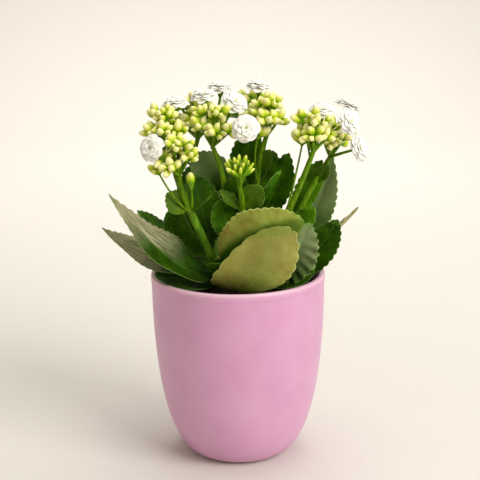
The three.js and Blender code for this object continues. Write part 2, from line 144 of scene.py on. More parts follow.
def finish_piece(bm, name, materials, slot, *nodes):
    """Makes the object in metres, rides it on the part, and lets it stand for its CAD nodes."""
    bm.transform(Matrix.Scale(0.001, 4))
    for face in bm.faces:
        face.smooth = True
    piece = new_object(name, mesh_from(bm, name))
    for material in materials:
        piece.data.materials.append(material)
    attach(piece, "root")
    if nodes:
        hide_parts(*nodes)


def pot_radius(z):
    """The pot's outside radius at a height."""
    fallen = 1 - min(max(z / POT_HEIGHT, 0), 1)
    swell = (1 - fallen**POT_BULGE) ** (1 / POT_BULGE)
    return POT_FOOT + (POT_RADIUS - POT_FOOT) * swell


def pot_profile():
    """The pot's outline from the middle of its foot, up the outside, over the lip and down the inside."""
    lip_foot = POT_HEIGHT - LIP_HEIGHT
    outside = [(pot_radius(lip_foot * s**2.4), lip_foot * s**2.4) for s in span(0, 1, 40)]
    step = [(pot_radius(lip_foot) + LIP_PROUD * smooth(s), lip_foot + LIP_STEP * s) for s in span(0.2, 1, 4)]
    outer, inner = POT_RADIUS + LIP_PROUD - LIP_ROUND, POT_RADIUS - POT_WALL + LIP_ROUND
    top = POT_HEIGHT - LIP_ROUND
    lip = [(outer + LIP_ROUND * cos(a), top + LIP_ROUND * sin(a)) for a in span(0, pi / 2, 6)]
    lip += [(inner + LIP_ROUND * cos(a), top + LIP_ROUND * sin(a)) for a in span(pi / 2, pi, 6)]
    heights = [POT_FLOOR + (lip_foot - POT_FLOOR) * (1 - s) ** 2 for s in span(0, 1, 24)]
    inside = [(pot_radius(z) - POT_WALL, z) for z in heights]
    return [(0, 0), *outside, *step, *lip, *inside, (0, POT_FLOOR)]


# Satin earthenware glaze: a soft broad gloss with no sharp image in it, in clouds about 35 mm across where
# it ran thicker, paler over the lip, where it ran thin and where a highlight along the rim is painted in, with
# an orange-peel skin about 2 mm across. Bare clay shows below the foot's edge.
glaze, tree, shader = new_material("satin_mauve_glaze", Roughness=0.42, Coat_Weight=0.25, Coat_Roughness=0.35)
place = add(tree, "TexCoord", out="Object")
cloud = add(tree, "TexNoise", {"Vector": place, "Scale": 1 / 0.035, "Detail": 3})
mauve = add(tree, "ValToRGB", {"Fac": cloud}, [(0.3, "#D297BC"), (0.7, "#DAA3C7")])
height = add(tree, "SeparateXYZ", {"Vector": place}, out="Z")
# Paler over the lip: glaze that ran thin there, and a painted highlight along the rim.
thin = add(
    tree, "MapRange", {"Value": height, "From Min": 0.1412, "From Max": 0.1446, "To Max": 0.6}, **EASED
)
mauve = add(tree, "Mix", {0: thin, 6: mauve, 7: linear("#F2CCD8")}, **COLOURS)
glazed = add(tree, "MapRange", {"Value": height, "From Min": 0.0008, "From Max": 0.0016})
skin = add(tree, "Mix", {0: glazed, 6: linear("#D8C3AC"), 7: mauve}, **COLOURS)
peel = add(tree, "TexNoise", {"Vector": place, "Scale": 1 / 0.002, "Detail": 2})
bump = add(tree, "Bump", {"Height": peel, "Strength": 0.12, "Distance": 0.0002})
connect(tree, shader, skin, bump)

bm = bmesh.new()
turned(bm, pot_profile(), POT_SEGMENTS)
finish_piece(bm, "glazed_pot", [glaze], "pot_glaze", "pot")


# ---- Soil ----
# Peat potting soil, pressed in by hand: a crumbly dark surface a little higher in the middle, with loose
# crumbs of peat and bark lying on it.

SOIL_EDGE = 132
SOIL_CROWN = 135
SOIL_ROUGH = 1.32
SOIL_EVEN = 6  # how near the pot it evens out
LUMP = 9
CLUMP = 3.2
SEAT_GAP = 0.3  # between pieces that rest in or on each other
SOIL_SEGMENTS = 96
CRUMBS = 420
CRUMB_REACH = 58
CRUMB_SIZE = 0.7
CRUMB_SPREAD = 1.5
CRUMB_WIDTH = (0.6, 1)  # as shares of its length
CRUMB_HEIGHT = (0.45, 0.85)


def repeatable(seed):
    """A repeatable draw of numbers from 0 to 1."""
    state = seed

    def draw():
        nonlocal state
        state = (state * 16807) % 2147483647
        return state / 2147483647

    return draw


def between(draw, low, high):
    """A drawn value between two."""
    return low + (high - low) * draw()


def soil_height(x, y):
    """The height of the soil's rough surface at a place."""
    rim = pot_radius(SOIL_EDGE - SEAT_GAP) - POT_WALL - SEAT_GAP
    inland = rim - hypot(x, y)
    crown = SOIL_EDGE + (SOIL_CROWN - SOIL_EDGE) * smooth(inland / rim)
    rough = noise.noise((x / LUMP, y / LUMP, 0)) + 0.6 * noise.noise((x / CLUMP, y / CLUMP, 4))
    return crown + SOIL_ROUGH * smooth(inland / SOIL_EVEN) * rough


# Moist peat: almost black-brown and dull, with paler fibres in grains of 1 to 4 mm.
peat, tree, shader = new_material("moist_peat", Roughness=0.95)
place = add(tree, "TexCoord", out="Object")
grain = add(tree, "TexNoise", {"Vector": place, "Scale": 1 / 0.004, "Detail": 6, "Roughness": 0.7})
brown = add(tree, "ValToRGB", {"Fac": grain}, [(0.3, "#140D08"), (0.55, "#2C1D12"), (0.8, "#5A4029")])
bump = add(tree, "Bump", {"Height": grain, "Strength": 0.8, "Distance": 0.001})
connect(tree, shader, brown, bump)

bm = bmesh.new()
levels = [POT_FLOOR + SEAT_GAP + (SOIL_EDGE - POT_FLOOR - SEAT_GAP) * s**1.7 for s in span(0, 1, 14)]
wall = [(pot_radius(z - SEAT_GAP) - POT_WALL - SEAT_GAP, z) for z in levels]
face = [(wall[-1][0] * (1 - s), SOIL_EDGE) for s in span(0.03, 1, 32)]
turned(bm, [(0, POT_FLOOR + SEAT_GAP), *wall, *face], SOIL_SEGMENTS)
for vert in bm.verts:
    if vert.co.z > SOIL_EDGE - 0.01:
        vert.co.z = soil_height(vert.co.x, vert.co.y)
finish_piece(bm, "soil_fill", [peat], "potting_soil", "soil")

bm = bmesh.new()
draw = repeatable(7)
for crumb in range(CRUMBS):
    radius = CRUMB_REACH * sqrt(draw())
    angle = 2 * pi * draw()
    size = CRUMB_SIZE + CRUMB_SPREAD * draw() ** 2
    x, y = radius * cos(angle), radius * sin(angle)
    lump = bmesh.ops.create_icosphere(bm, subdivisions=1, radius=size)["verts"]
    turn = Quaternion((draw() - 0.5, draw() - 0.5, 1), 2 * pi * draw())
    bmesh.ops.scale(bm, verts=lump, vec=(1, between(draw, *CRUMB_WIDTH), between(draw, *CRUMB_HEIGHT)))
    bmesh.ops.rotate(bm, verts=lump, cent=(0, 0, 0), matrix=turn.to_matrix())
    bmesh.ops.translate(bm, verts=lump, vec=(x, y, soil_height(x, y) + 0.25 * size))
finish_piece(bm, "soil_crumbs", [peat], "potting_soil")


# ---- Stems ----
# Eight fleshy stems, rooted in the soil. Each is thickest at the foot, swells a little at the joints that
# leaves grow from, and is light green with paler lengthwise streaks.

STEMS = {  # radius at the foot and at the top, and the four points of its curve
    "left": ((3.9, 2.8), ((-9, -6, 112), (-12, -10, 145), (-21, -20, 166), (-34, -28, 197))),
    "front": ((3.3, 2.5), ((5, -8, 112), (5, -12, 140), (4, -18, 170), (4, -27, 197))),
    "middle_left": ((3.5, 2.6), ((-5, 5, 112), (-5, 5, 145), (-6, 4, 172), (-9, 3, 206))),
    "middle_right": ((3.5, 2.6), ((8, 5, 112), (10, 7, 145), (12, 9, 172), (15, 11, 206))),
    "right": ((3.8, 2.8), ((15, -4, 112), (19, -6, 145), (26, -8, 165), (40, -8, 196))),
    "far_right": ((3.8, 2.8), ((19, 7, 112), (24, 9, 145), (34, 10, 162), (49, 8, 192))),
    "back_left": ((3.8, 2.8), ((-11, 14, 112), (-15, 20, 145), (-22, 27, 172), (-32, 34, 206))),
    "back": ((3.8, 2.8), ((5, 17, 112), (6, 24, 145), (6, 31, 172), (4, 38, 210))),
}
JOINTS = {  # how far up each stem its joints lie, as a share of its length
    "left": (0.36, 0.52, 0.6),
    "front": (0.34, 0.66),
    "middle_left": (0.42, 0.84),
    "middle_right": (0.74, 0.86),
    "right": (0.44, 0.68),
    "far_right": (0.28, 0.5, 0.82, 0.4),
    "back_left": (0.42, 0.5, 0.76),
    "back": (0.44, 0.5, 0.74, 0.9),
}
JOINT_SWELL = 0.16
JOINT_REACH = 0.03


def bezier(points, u):
    """A point on the curve of three or four points, and the curve's direction there."""
    level = [Vector(point) for point in points]
    while len(level) > 2:
        level = [a.lerp(b, u) for a, b in zip(level, level[1:])]
    return level[0].lerp(level[1], u), (level[1] - level[0]).normalized()


def tubes(bm, runs, sides, material=0):
    """Round tubes along lines of (place, radius) points, added to the mesh."""
    curve = bpy.data.curves.new("tubes", "CURVE")
    curve.dimensions = "3D"
    curve.bevel_depth = 1
    curve.bevel_resolution = sides // 2 - 2
    curve.use_fill_caps = True
    for run in runs:
        line = curve.splines.new("POLY")
        line.points.add(len(run) - 1)
        for point, (at, radius) in zip(line.points, run):
            point.co = (*at, 1)
            point.radius = radius
    holder = new_object("tubes", curve)
    shaped = holder.evaluated_get(bpy.context.evaluated_depsgraph_get())
    mesh = bpy.data.meshes.new_from_object(shaped)
    start = len(bm.faces)
    bm.from_mesh(mesh)
    bm.faces.ensure_lookup_table()
    for face in bm.faces[start:]:
        face.material_index = material
    bpy.data.objects.remove(holder)
    bpy.data.curves.remove(curve)
    bpy.data.meshes.remove(mesh)


def run_along(points, start, end, steps):
    """Points of a tube along a curve, which narrows evenly from one radius to the other."""
    return [(bezier(points, u)[0], start + (end - start) * u) for u in span(0, 1, steps)]


def green_flesh(name, dark, light, scale):
    """Smooth green plant flesh: waxy, a little see-through, streaked and mottled with paler green."""
    material, tree, shader = new_material(
        name, Roughness=0.42, Specular_IOR_Level=0.15, Subsurface_Weight=0.15,
        Subsurface_Radius=(0.3, 1, 0.1), Subsurface_Scale=0.002,
    )
    place = add(tree, "TexCoord", out="Object")
    drawn_out = add(tree, "Mapping", {"Vector": place, "Scale": (1, 1, 0.2)})
    streak = add(tree, "TexNoise", {"Vector": drawn_out, "Scale": scale, "Detail": 4})
    green = add(tree, "ValToRGB", {"Fac": streak}, [(0.3, dark), (0.72, light)])
    bump = add(tree, "Bump", {"Height": streak, "Strength": 0.25, "Distance": 0.0004})
    connect(tree, shader, green, bump)
    return material


# The flesh of a stem: mid green with yellow-green streaks about 3 mm wide and 15 mm long.
stem_flesh = green_flesh("stem_flesh", "#37640A", "#74A022", 1 / 0.003)

for name, (radii, points) in STEMS.items():
    bm = bmesh.new()
    run = []
    for u in span(0, 1, 40):
        swelling = sum(exp(-(((u - joint) / JOINT_REACH) ** 2)) for joint in JOINTS[name])
        radius = radii[0] + (radii[1] - radii[0]) * u
        run.append((bezier(points, u)[0], radius * (1 + JOINT_SWELL * min(1, swelling))))
    tubes(bm, [run], 14)
    finish_piece(bm, name + "_stem", [stem_flesh], "stem", "stem_" + name)


# ---- Leaves ----
# Thick succulent leaves with scalloped edges, each grown as one piece from a joint of its stem. The upper
# side is dark green and waxy with a paler edge, partly a painted highlight along the rim. The under side is
# mid green, on the two front leaves olive, a lighter copy of it with painted light.

LEAF_THICKNESS = 2.4
LEAF_STALK_WIDTH = 5.5
LEAF_RIPPLE = 1.1
LOBE_LENGTH = 5.2
LOBE_NOTCH = 1.5
LEAF_WAVES = 5
EDGE_THICKNESS = 0.35  # as a share of the thickness at the rib
RIB_WIDTH = 1.3
RIB_PROUD = 0.35
RIB_SUNK = 0.3
LOBE_WANDER = 0.7
TONE_RANGE = (-0.05, 0.05)
COLUMN_CROWDING = 0.095
LEAF_ROWS = 104
LEAF_COLUMNS = 24

# A leaf's outline: stalk_share is how much of its length is stalk, fullness below 1 puts its widest part
# nearer its foot, roundness below 1 fills its ends, and lean slides its two halves along each other.
OUTLINE = {"stalk_share": 0.14, "fullness": 1.15, "roundness": 0.6, "lean": 0}

# How its skin looks: tone is its lightness; then how much pale wax bloom and painted sheen, the reflection of
# light grazing the leaf, lie towards its tip; cool is how green that pale layer is, green_half keeps the half
# that catches no sheen clear of it and streaks draws lines in it. Last, the deep green along its rib is painted
# shade.
LOOKS = {"tone": 0, "haze": 0, "cool": 0, "green_half": 0, "core": 0.2, "streaks": 0.3}

FAN = {"stalk_share": 0.38, "fullness": 1, "roundness": 0.35, "lean": 0.6, "lobe": 9, "notch": 1.8}
FRONT = {**FAN, "haze": 0.6, "streaks": 0.1, "core": 0.5, "tone": 0.08}
# Deep green painted shade all along the rib.
RIB_SHADED = {"core": 1, "tone": -0.08}
TAPERED = {"fullness": 0.72, "roundness": 1}
# Leaves with much pale wax bloom and painted sheen towards the tip, in streaks.
WAX_SHEENED = {**TAPERED, "haze": 1.1, "streaks": 1, "tone": -0.14}
HALF_WAX_SHEENED = {**WAX_SHEENED, "green_half": 1, "tone": -0.1}
EDGE_ON = {**TAPERED, "haze": 2, "streaks": 0.2}
LIT = {"tone": 0.06}
BLUNT = {"fullness": 1.3, "roundness": 0.45, "tone": 0.06}
SHEEN = {"haze": 0.4, "cool": 1}
TALL = {"roundness": 0.8, "haze": 0.45, "cool": 0.6, "tone": 0.06}
CRIMPED = {"haze": 0.7, "cool": 1, "tone": -0.06, "ripple": 1.9, "waves": 21, "lobe": 4.4, "notch": 2.6}
LIGHT = {"tone": 0.3}

LEAVES = {  # stem, joint, bend point, tip, where it faces, width, fold at its rib, cup, and what else it has
    "front_pale": ("front", 0, (-4, -64, 125), (28, -47.5, 191), (0, 1, 0.1), 50, 0, 0.1, FRONT),
    "front_wide": ("left", 1, (4, -52, 172), (49, -37, 192), (-0.1, 1, 0.5), 54, 0.05, 0.2, RIB_SHADED),
    "left_long": ("left", 0, (-46, -42, 146), (-95, -24, 212), (0.1, -0.45, 1), 36, 0.25, 0.1, HALF_WAX_SHEENED),
    "left_low": ("middle_left", 0, (-60, -2, 138), (-103, -6, 182), (0, -0.4, 1), 42, 0.2, 0.1, WAX_SHEENED),
    "left_dark": ("left", 1, (-31, 2, 173), (-54, -5, 192), (0.2, -1, 0.3), 34, 0.1, 0.1, BLUNT),
    "left_upright": ("left", 2, (-23, -14, 192), (-34, -14, 224), (0.3, -1, 0.2), 29, 0.1, 0.1, LIT),
    "middle_sheen": ("middle_left", 1, (-10, 10, 217), (-34, 12, 234), (-0.2, -1, 0.3), 29, 0.1, 0.1, SHEEN),
    "middle_dark": ("front", 1, (-9, -24, 188), (-13, -26, 207), (0.1, -1, 0.3), 22, 0.1, 0.1, {"lobe": 3.6}),
    "middle_top": ("back", 3, (10, 26, 214), (10, 24, 254), (0, -1, 0.2), 28, 0.1, 0.1, {"tone": 0.1}),
    "right_round": ("middle_right", 0, (30, 12, 196), (40, 14, 234), (-0.4, -1, 0.2), 24, 0.1, 0.1, LIT),
    "right_folded": ("middle_right", 1, (20, -8, 198), (33, -14, 226), (-0.7, 0.3, 0.7), 18, 0.3, 0.1, {}),
    "right_tall": ("far_right", 1, (60, 16, 166), (75, 24, 229), (-0.3, -1, 0.2), 28, 0.2, 0.1, TALL),
    "right_low": ("far_right", 0, (60, -6, 150), (76, -6, 186), (0, -1, 0.4), 26, 0.1, 0.1, {"tone": -0.15}),
    "right_edge": ("far_right", 3, (66, 14, 158), (92, -4, 195), (0.3, -0.2, 1), 16, 0.2, 0.1, EDGE_ON),
    "right_small": ("right", 1, (50, -15, 184), (58, -18, 198), (-0.2, -1, 0.6), 15, 0.1, 0.1, {"tone": 0.4}),
    "right_crimped": ("right", 0, (44, -32, 147), (53, -24, 188), (-0.2, -1, 0.4), 32, 0.1, 0.15, CRIMPED),
    "right_upper": ("far_right", 2, (54, 18, 203), (66, 20, 227), (-0.3, -1, 0.3), 18, 0.1, 0.1, LIGHT),
    "back_right": ("back", 0, (40, 46, 144), (66, 62, 184), (0, 0, 1), 44, 0.2, 0.1, {}),
    "back_middle": ("back", 1, (5, 66, 146), (-2, 90, 186), (0, 0, 1), 44, 0.2, 0.1, {}),
    "back_low": ("back_left", 0, (-36, 56, 144), (-48, 80, 182), (0, 0, 1), 44, 0.2, 0.1, {}),
    "back_side": ("back_left", 1, (-55, 36, 150), (-80, 42, 184), (0, 0, 1), 36, 0.2, 0.1, {}),
    "back_upper": ("back_left", 2, (-34, 46, 186), (-36, 58, 218), (0.3, -0.7, 0.6), 30, 0.1, 0.1, {}),
    "back_tall": ("back", 2, (20, 52, 186), (30, 60, 228), (-0.4, -0.8, 0.6), 36, 0.1, 0.1, {}),
}


def half_width(leaf, u):
    """Half a leaf's width along it, without scallops: a narrow stalk, then a round blade."""
    x = min(1, max(0, (u - leaf["stalk_share"]) / (1 - leaf["stalk_share"])))
    blade = sin(pi * x ** leaf["fullness"]) ** leaf["roundness"] if 0 < x < 1 else 0
    return leaf["width"] / 2 * blade + leaf["stalk_width"] / 2 * (1 - x)


def outline_rows(leaf, rows):
    """Shares of a leaf's length that lie at even steps along its outline, and how long the outline is."""
    fine = span(0, 1, 400)
    steps = []
    for a, b in zip(fine, fine[1:]):
        steps.append(hypot((b - a) * leaf["long"], half_width(leaf, b) - half_width(leaf, a)))
    total, done, found = sum(steps), 0, [0]
    for u, step in zip(fine, steps):
        while len(found) < rows and total * len(found) / rows <= done + step:
            found.append(u + (total * len(found) / rows - done) / step / 400)
        done += step
    return [*found, 1], total


def leaf_point(leaf, u, v, side, bite):
    """A point of a leaf: u along it, v across it from -1 to 1, on its upper (1) or under (-1) side. The bite
    is how deep into a scallop's notch it lies, from 0 to 1. The leaf thins to its edge, and its rib stands
    proud on the under side and lies in a groove on the upper side."""
    half = half_width(leaf, u)
    slope = (half_width(leaf, u + 0.002) - half_width(leaf, u - 0.002)) / 0.004 / leaf["long"]
    notch = leaf["notch"] * bite * abs(v) ** 3 * smooth((u - leaf["stalk_share"]) * 6) / hypot(1, slope)
    at, along = bezier(leaf["rib"], max(0, u + notch * slope / leaf["long"]))
    upper = (leaf["faces"] - along * leaf["faces"].dot(along)).normalized()
    left = upper.cross(along)
    spread = (half * v - copysign(notch, v)) / hypot(1, leaf["fold"])
    rise = abs(spread) * (leaf["fold"] + leaf["cup"] * abs(v))
    rise += leaf["ripple"] * smooth(3 * u) * smooth(4 - 4 * u) * v * v * sin(leaf["waves"] * pi * u + v)
    rounded = sqrt(max(0, 1 - v**4)) * sqrt(max(0, 1 - u**24))
    rib = exp(-((v * max(half, 1) / RIB_WIDTH) ** 2)) * (1 - u) * (RIB_PROUD if side < 0 else -RIB_SUNK)
    depth = leaf["thickness"] / 2 * (EDGE_THICKNESS + (1 - EDGE_THICKNESS) * (1 - v * v)) * rounded
    lift = rise + side * (depth + rib * leaf["thickness"] / LEAF_THICKNESS)
    return at + left * spread + upper * lift + along * (leaf["lean"] * spread)


def blade(bm, leaf, rows, columns, materials=(0, 1)):
    """Adds a leaf: a sheet for each side, bent to its place and joined at the edge. Its columns lie closer
    together at the rib and the edges, and its scallops wander a little from leaf to leaf."""
    across = bm.loops.layers.uv.verify()
    marks = {key: bm.verts.layers.float.get(key) or bm.verts.layers.float.new(key) for key in LOOKS}
    shares, outline = outline_rows(leaf, rows)
    lobes = max(2, round(outline / leaf["lobe"]))
    start_verts, start_faces = len(bm.verts), len(bm.faces)
    for side, material in zip((1, -1), materials):
        grid = bmesh.ops.create_grid(bm, x_segments=rows, y_segments=columns, size=1)["verts"]
        spots = {}
        for vert in grid:
            row = round((vert.co.x + 1) / 2 * rows)
            spots[vert] = (row, vert.co.y - COLUMN_CROWDING * sin(2 * pi * vert.co.y))
        for face in {face for vert in grid for face in vert.link_faces}:
            face.material_index = material
            for loop in face.loops:
                row, v = spots[loop.vert]
                loop[across].uv = (shares[row], (v + 1) / 2)
        for vert, (row, v) in spots.items():
            wander = LOBE_WANDER * sin(7 * shares[row] + 2 * v + 31 * leaf["tone"])
            bite = 1 - abs(cos(pi * lobes * row / rows + wander)) ** 0.6
            vert.co = leaf_point(leaf, shares[row], v, side, bite)
            for key, layer in marks.items():
                vert[layer] = leaf[key]
    bm.verts.ensure_lookup_table()
    bmesh.ops.remove_doubles(bm, verts=bm.verts[start_verts:], dist=1e-3)
    bm.faces.ensure_lookup_table()
    bmesh.ops.recalc_face_normals(bm, faces=bm.faces[start_faces:])


def leaf_skin(name, shades, vein, edge, core, warm, cool, roughness, vein_strength):
    """A leaf's side: mottled over 3 to 15 mm, with a rib, side veins about 7 mm apart and a paler edge, partly
    a painted highlight along the rim. Along its rib it turns to a deep green of painted shade, and towards its
    tip a warm or cool waxen bloom with a painted sheen, the reflection of grazing light, lies over it in fine
    streaks."""
    material, tree, shader = new_material(
        name, Roughness=roughness, Specular_IOR_Level=0.07, Subsurface_Weight=0.1,
        Subsurface_Radius=(0.3, 1, 0.1), Subsurface_Scale=0.002,
    )
    looks = {key: add(tree, "Attribute", out="Fac", attribute_name=key) for key in LOOKS}
    place = add(tree, "TexCoord", out="Object")
    flat = add(tree, "TexCoord", out="UV")
    along = add(tree, "SeparateXYZ", {"Vector": flat}, out="X")
    across = add(tree, "SeparateXYZ", {"Vector": flat}, out="Y")
    centred = add(tree, "Math", {0: across, 1: 0.5}, operation="SUBTRACT")
    out = add(tree, "Math", {0: centred}, operation="ABSOLUTE")

    # The rib and the side veins that slant away from it.
    slant = add(tree, "Math", {0: out, 1: -0.45, 2: along}, operation="MULTIPLY_ADD")
    turns = add(tree, "Math", {0: slant, 1: 9.0}, operation="MULTIPLY")
    to_vein = add(tree, "Math", {0: turns, 1: 0.5}, operation="PINGPONG")
    side_vein = add(
        tree, "MapRange", {"Value": to_vein, "From Min": 0.09, "From Max": 0.0, "To Max": 0.35}, **EASED
    )
    inner = add(tree, "MapRange", {"Value": out, "From Min": 0.46, "From Max": 0.3}, **EASED)
    branches = add(tree, "Math", {0: side_vein, 1: inner}, operation="MULTIPLY")
    tapering = add(tree, "Math", {0: along, 1: -0.035, 2: 0.045}, operation="MULTIPLY_ADD")
    rib = add(tree, "MapRange", {"Value": out, "From Min": tapering, "From Max": 0.012}, **EASED)
    veins = add(tree, "Math", {0: rib, 1: branches}, operation="MAXIMUM")

    # The mottled body, and painted shade in deep green along the rib that fades towards the tip.
    mottle = add(tree, "TexNoise", {"Vector": place, "Scale": 1 / 0.012, "Detail": 5, "Roughness": 0.6})
    toned = add(tree, "Math", {0: mottle, 1: looks["tone"]}, operation="ADD")
    body = add(tree, "ValToRGB", {"Fac": toned}, shades)
    inward = add(tree, "MapRange", {"Value": out, "From Min": 0.33, "From Max": 0.16}, **EASED)
    shaded_rib = add(tree, "Math", {0: inward, 1: looks["core"]}, operation="MULTIPLY")
    fading = add(tree, "Math", {0: along, 1: -0.4, 2: 1}, operation="MULTIPLY_ADD")
    shaded_rib = add(tree, "Math", {0: shaded_rib, 1: fading}, operation="MULTIPLY")
    body = add(tree, "Mix", {0: shaded_rib, 6: body, 7: linear(core)}, **COLOURS)

    # Lines in the wax bloom and painted sheen, 0.5 mm wide and 6 mm long, drawn apart from leaf to leaf.
    drawn_out = add(tree, "VectorMath", {0: flat, 1: (10, 64, 1)}, operation="MULTIPLY")
    own = add(tree, "Math", {0: looks["tone"], 1: 90.0}, operation="MULTIPLY")
    apart = add(tree, "CombineXYZ", {"Z": own})
    lines = add(tree, "VectorMath", {0: drawn_out, 1: apart}, operation="ADD")
    streak = add(tree, "TexNoise", {"Vector": lines, "Scale": 1.0, "Detail": 3, "Roughness": 0.6})
    gap = add(tree, "MapRange", {"Value": streak, "From Min": 0.57, "From Max": 0.43, "To Max": -0.75})
    streaked = add(tree, "Math", {0: gap, 1: looks["streaks"], 2: 1}, operation="MULTIPLY_ADD")

    # The wax bloom with its painted sheen, the reflection of light grazing the leaf: more of it towards the
    # tip,
    #     and none on a green half, which catches no sheen.
    tipward = add(tree, "MapRange", {"Value": along, "From Min": 0.34, "From Max": 0.84}, **EASED)
    sheen_share = add(tree, "Math", {0: tipward, 1: looks["haze"]}, operation="MULTIPLY")
    sheen_share = add(tree, "Math", {0: sheen_share, 1: streaked}, operation="MULTIPLY")
    half = add(tree, "MapRange", {"Value": centred, "From Min": -0.06, "From Max": 0.02}, **EASED)
    below_tip = add(tree, "MapRange", {"Value": along, "From Min": 0.9, "From Max": 0.65})
    bare = add(tree, "Math", {0: half, 1: below_tip}, operation="MULTIPLY")
    bare = add(tree, "Math", {0: bare, 1: looks["green_half"]}, operation="MULTIPLY")
    waxy = add(tree, "Math", {0: 1, 1: bare}, operation="SUBTRACT")
    sheen_share = add(tree, "Math", {0: sheen_share, 1: waxy}, operation="MULTIPLY")
    # The colour of the pale wax bloom and its painted sheen, warm or cool.
    wax_sheen_colour = add(tree, "Mix", {0: looks["cool"], 6: linear(warm), 7: linear(cool)}, **COLOURS)
    body = add(tree, "Mix", {0: sheen_share, 6: body, 7: wax_sheen_colour}, **COLOURS)

    # The veins, the paler edge with a painted highlight along the rim, and the relief: sunk veins, wrinkles
    # along
    #     the streaks, and pores, drawn 1.5 mm apart because real ones are too fine to show.
    shown = add(tree, "Math", {0: veins, 1: vein_strength}, operation="MULTIPLY")
    veined = add(tree, "Mix", {0: shown, 6: body, 7: linear(vein)}, **COLOURS)
    # The paler edge: the leaf's own paler margin, and a painted highlight where light catches its thick rim.
    brim_and_rim_light = add(
        tree, "MapRange", {"Value": out, "From Min": 0.478, "From Max": 0.496, "To Max": 0.8}, **EASED
    )
    rimmed = add(tree, "Mix", {0: brim_and_rim_light, 6: veined, 7: linear(edge)}, **COLOURS)
    pores = add(tree, "TexNoise", {"Vector": place, "Scale": 1 / 0.0015, "Detail": 3})
    relief = add(tree, "Math", {0: veins, 1: -0.6, 2: pores}, operation="MULTIPLY_ADD")
    wrinkled = add(tree, "Math", {0: streak, 1: looks["streaks"]}, operation="MULTIPLY")
    relief = add(tree, "Math", {0: wrinkled, 1: 4.0, 2: relief}, operation="MULTIPLY_ADD")
    bump = add(tree, "Bump", {"Height": relief, "Strength": 0.4, "Distance": 0.0004})
    connect(tree, shader, rimmed, bump)
    return material


# The waxy upper side: deep green with a soft sheen, and towards the tip a pale wax bloom with painted sheen.
upper_skin = leaf_skin(
    "waxy_upper_leaf", [(0.25, "#1C3200"), (0.55, "#325A02"), (1.0, "#62980E")], vein="#5C8C28",
    edge="#A2BC68", core="#224A02", warm="#C2B892", cool="#A6B67E", roughness=0.42, vein_strength=0.3,
)
# The under side of most leaves: a duller mid green with a proud pale rib.
under_skin = leaf_skin(
    "green_leaf_underside", [(0.25, "#2C5404"), (0.6, "#41740A"), (1.0, "#76A628")], vein="#78A03A",
    edge="#AEC474", core="#2C5C06", warm="#A8A072", cool="#7E9C70", roughness=0.5, vein_strength=0.4,
)
# The under side of the two front leaves: olive, a copy of the green under side with painted light where light
# falls on them, dark green painted shade along the rib, brown near the tip.
lit_olive_skin = leaf_skin(
    "lit_olive_leaf_underside", [(0.34, "#7C7630"), (0.5, "#8A943C"), (0.72, "#A8B65C")], vein="#5E8220",
    edge="#BCCA72", core="#2A6000", warm="#8E8046", cool="#8C9C64", roughness=0.5, vein_strength=0.4,
)


def leaf_from(stem, share, bend, tip, faces, width, fold, cup, own):
    """A leaf's values, for one that grows from a share of the way up a stem."""
    root, bend, tip = bezier(STEMS[stem][1], share)[0], Vector(bend), Vector(tip)
    long = ((bend - root).length + (tip - bend).length + (tip - root).length) / 2
    return {
        **OUTLINE, **LOOKS, "rib": (root, bend, tip), "long": long, "faces": Vector(faces).normalized(),
        "width": width, "fold": fold, "cup": cup, "thickness": LEAF_THICKNESS,
        "stalk_width": LEAF_STALK_WIDTH, "lobe": LOBE_LENGTH, "notch": LOBE_NOTCH, "ripple": LEAF_RIPPLE,
        "waves": LEAF_WAVES, **own,
    }


draw = repeatable(19)
for name, (stem, joint, *shape) in LEAVES.items():
    bm = bmesh.new()
    leaf = leaf_from(stem, JOINTS[stem][joint], *shape)
    leaf["tone"] += between(draw, *TONE_RANGE)
    blade(bm, leaf, LEAF_ROWS, LEAF_COLUMNS)
    # The two front leaves take the olive copy of the under side, with painted light.
    lit_front = name.startswith("front")
    below, slot = (lit_olive_skin, "leaf_underside") if lit_front else (under_skin, "leaf")
    finish_piece(bm, name + "_leaf", [upper_skin, below], slot, "leaf_" + name)


# ---- Young leaves ----
# Small leaves that sprout low on the stems and hide most of the soil, each one piece like the large ones. The
# CAD model leaves them out. Three larger ones have their own places, the others sit round each stem.

SPROUTS = 3
SPROUT_FOOT = (0.3, 0.42)  # share of the way up the stem
SPROUT_REACH = (15, 24)
SPROUT_RISE = (6, 16)
SPROUT_WIDTH = (12, 19)
SPROUT_TONE = (0.05, 0.25)
YOUNG_FOLD = 0.2
YOUNG_CUP = 0.1
YOUNG_LEAF = {"thickness": 1.6, "stalk_width": 3, "lobe": 3.6, "notch": 0.9, "ripple": 0.6}
LARGER = [  # stem, share of the way up it, bend point, tip, where it faces, width, tone
    ("left", 0.3, (-36, -32, 142), (-62, -20, 150), (0.1, -0.4, 1), 34, -0.1),
    ("right", 0.3, (36, -27, 142), (58, -22, 152), (-0.1, -0.7, 1), 26, -0.12),
    ("middle_left", 0.8, (-1, -2, 204), (2, -4, 222), (0, -1, 0.2), 20, -0.1),
]

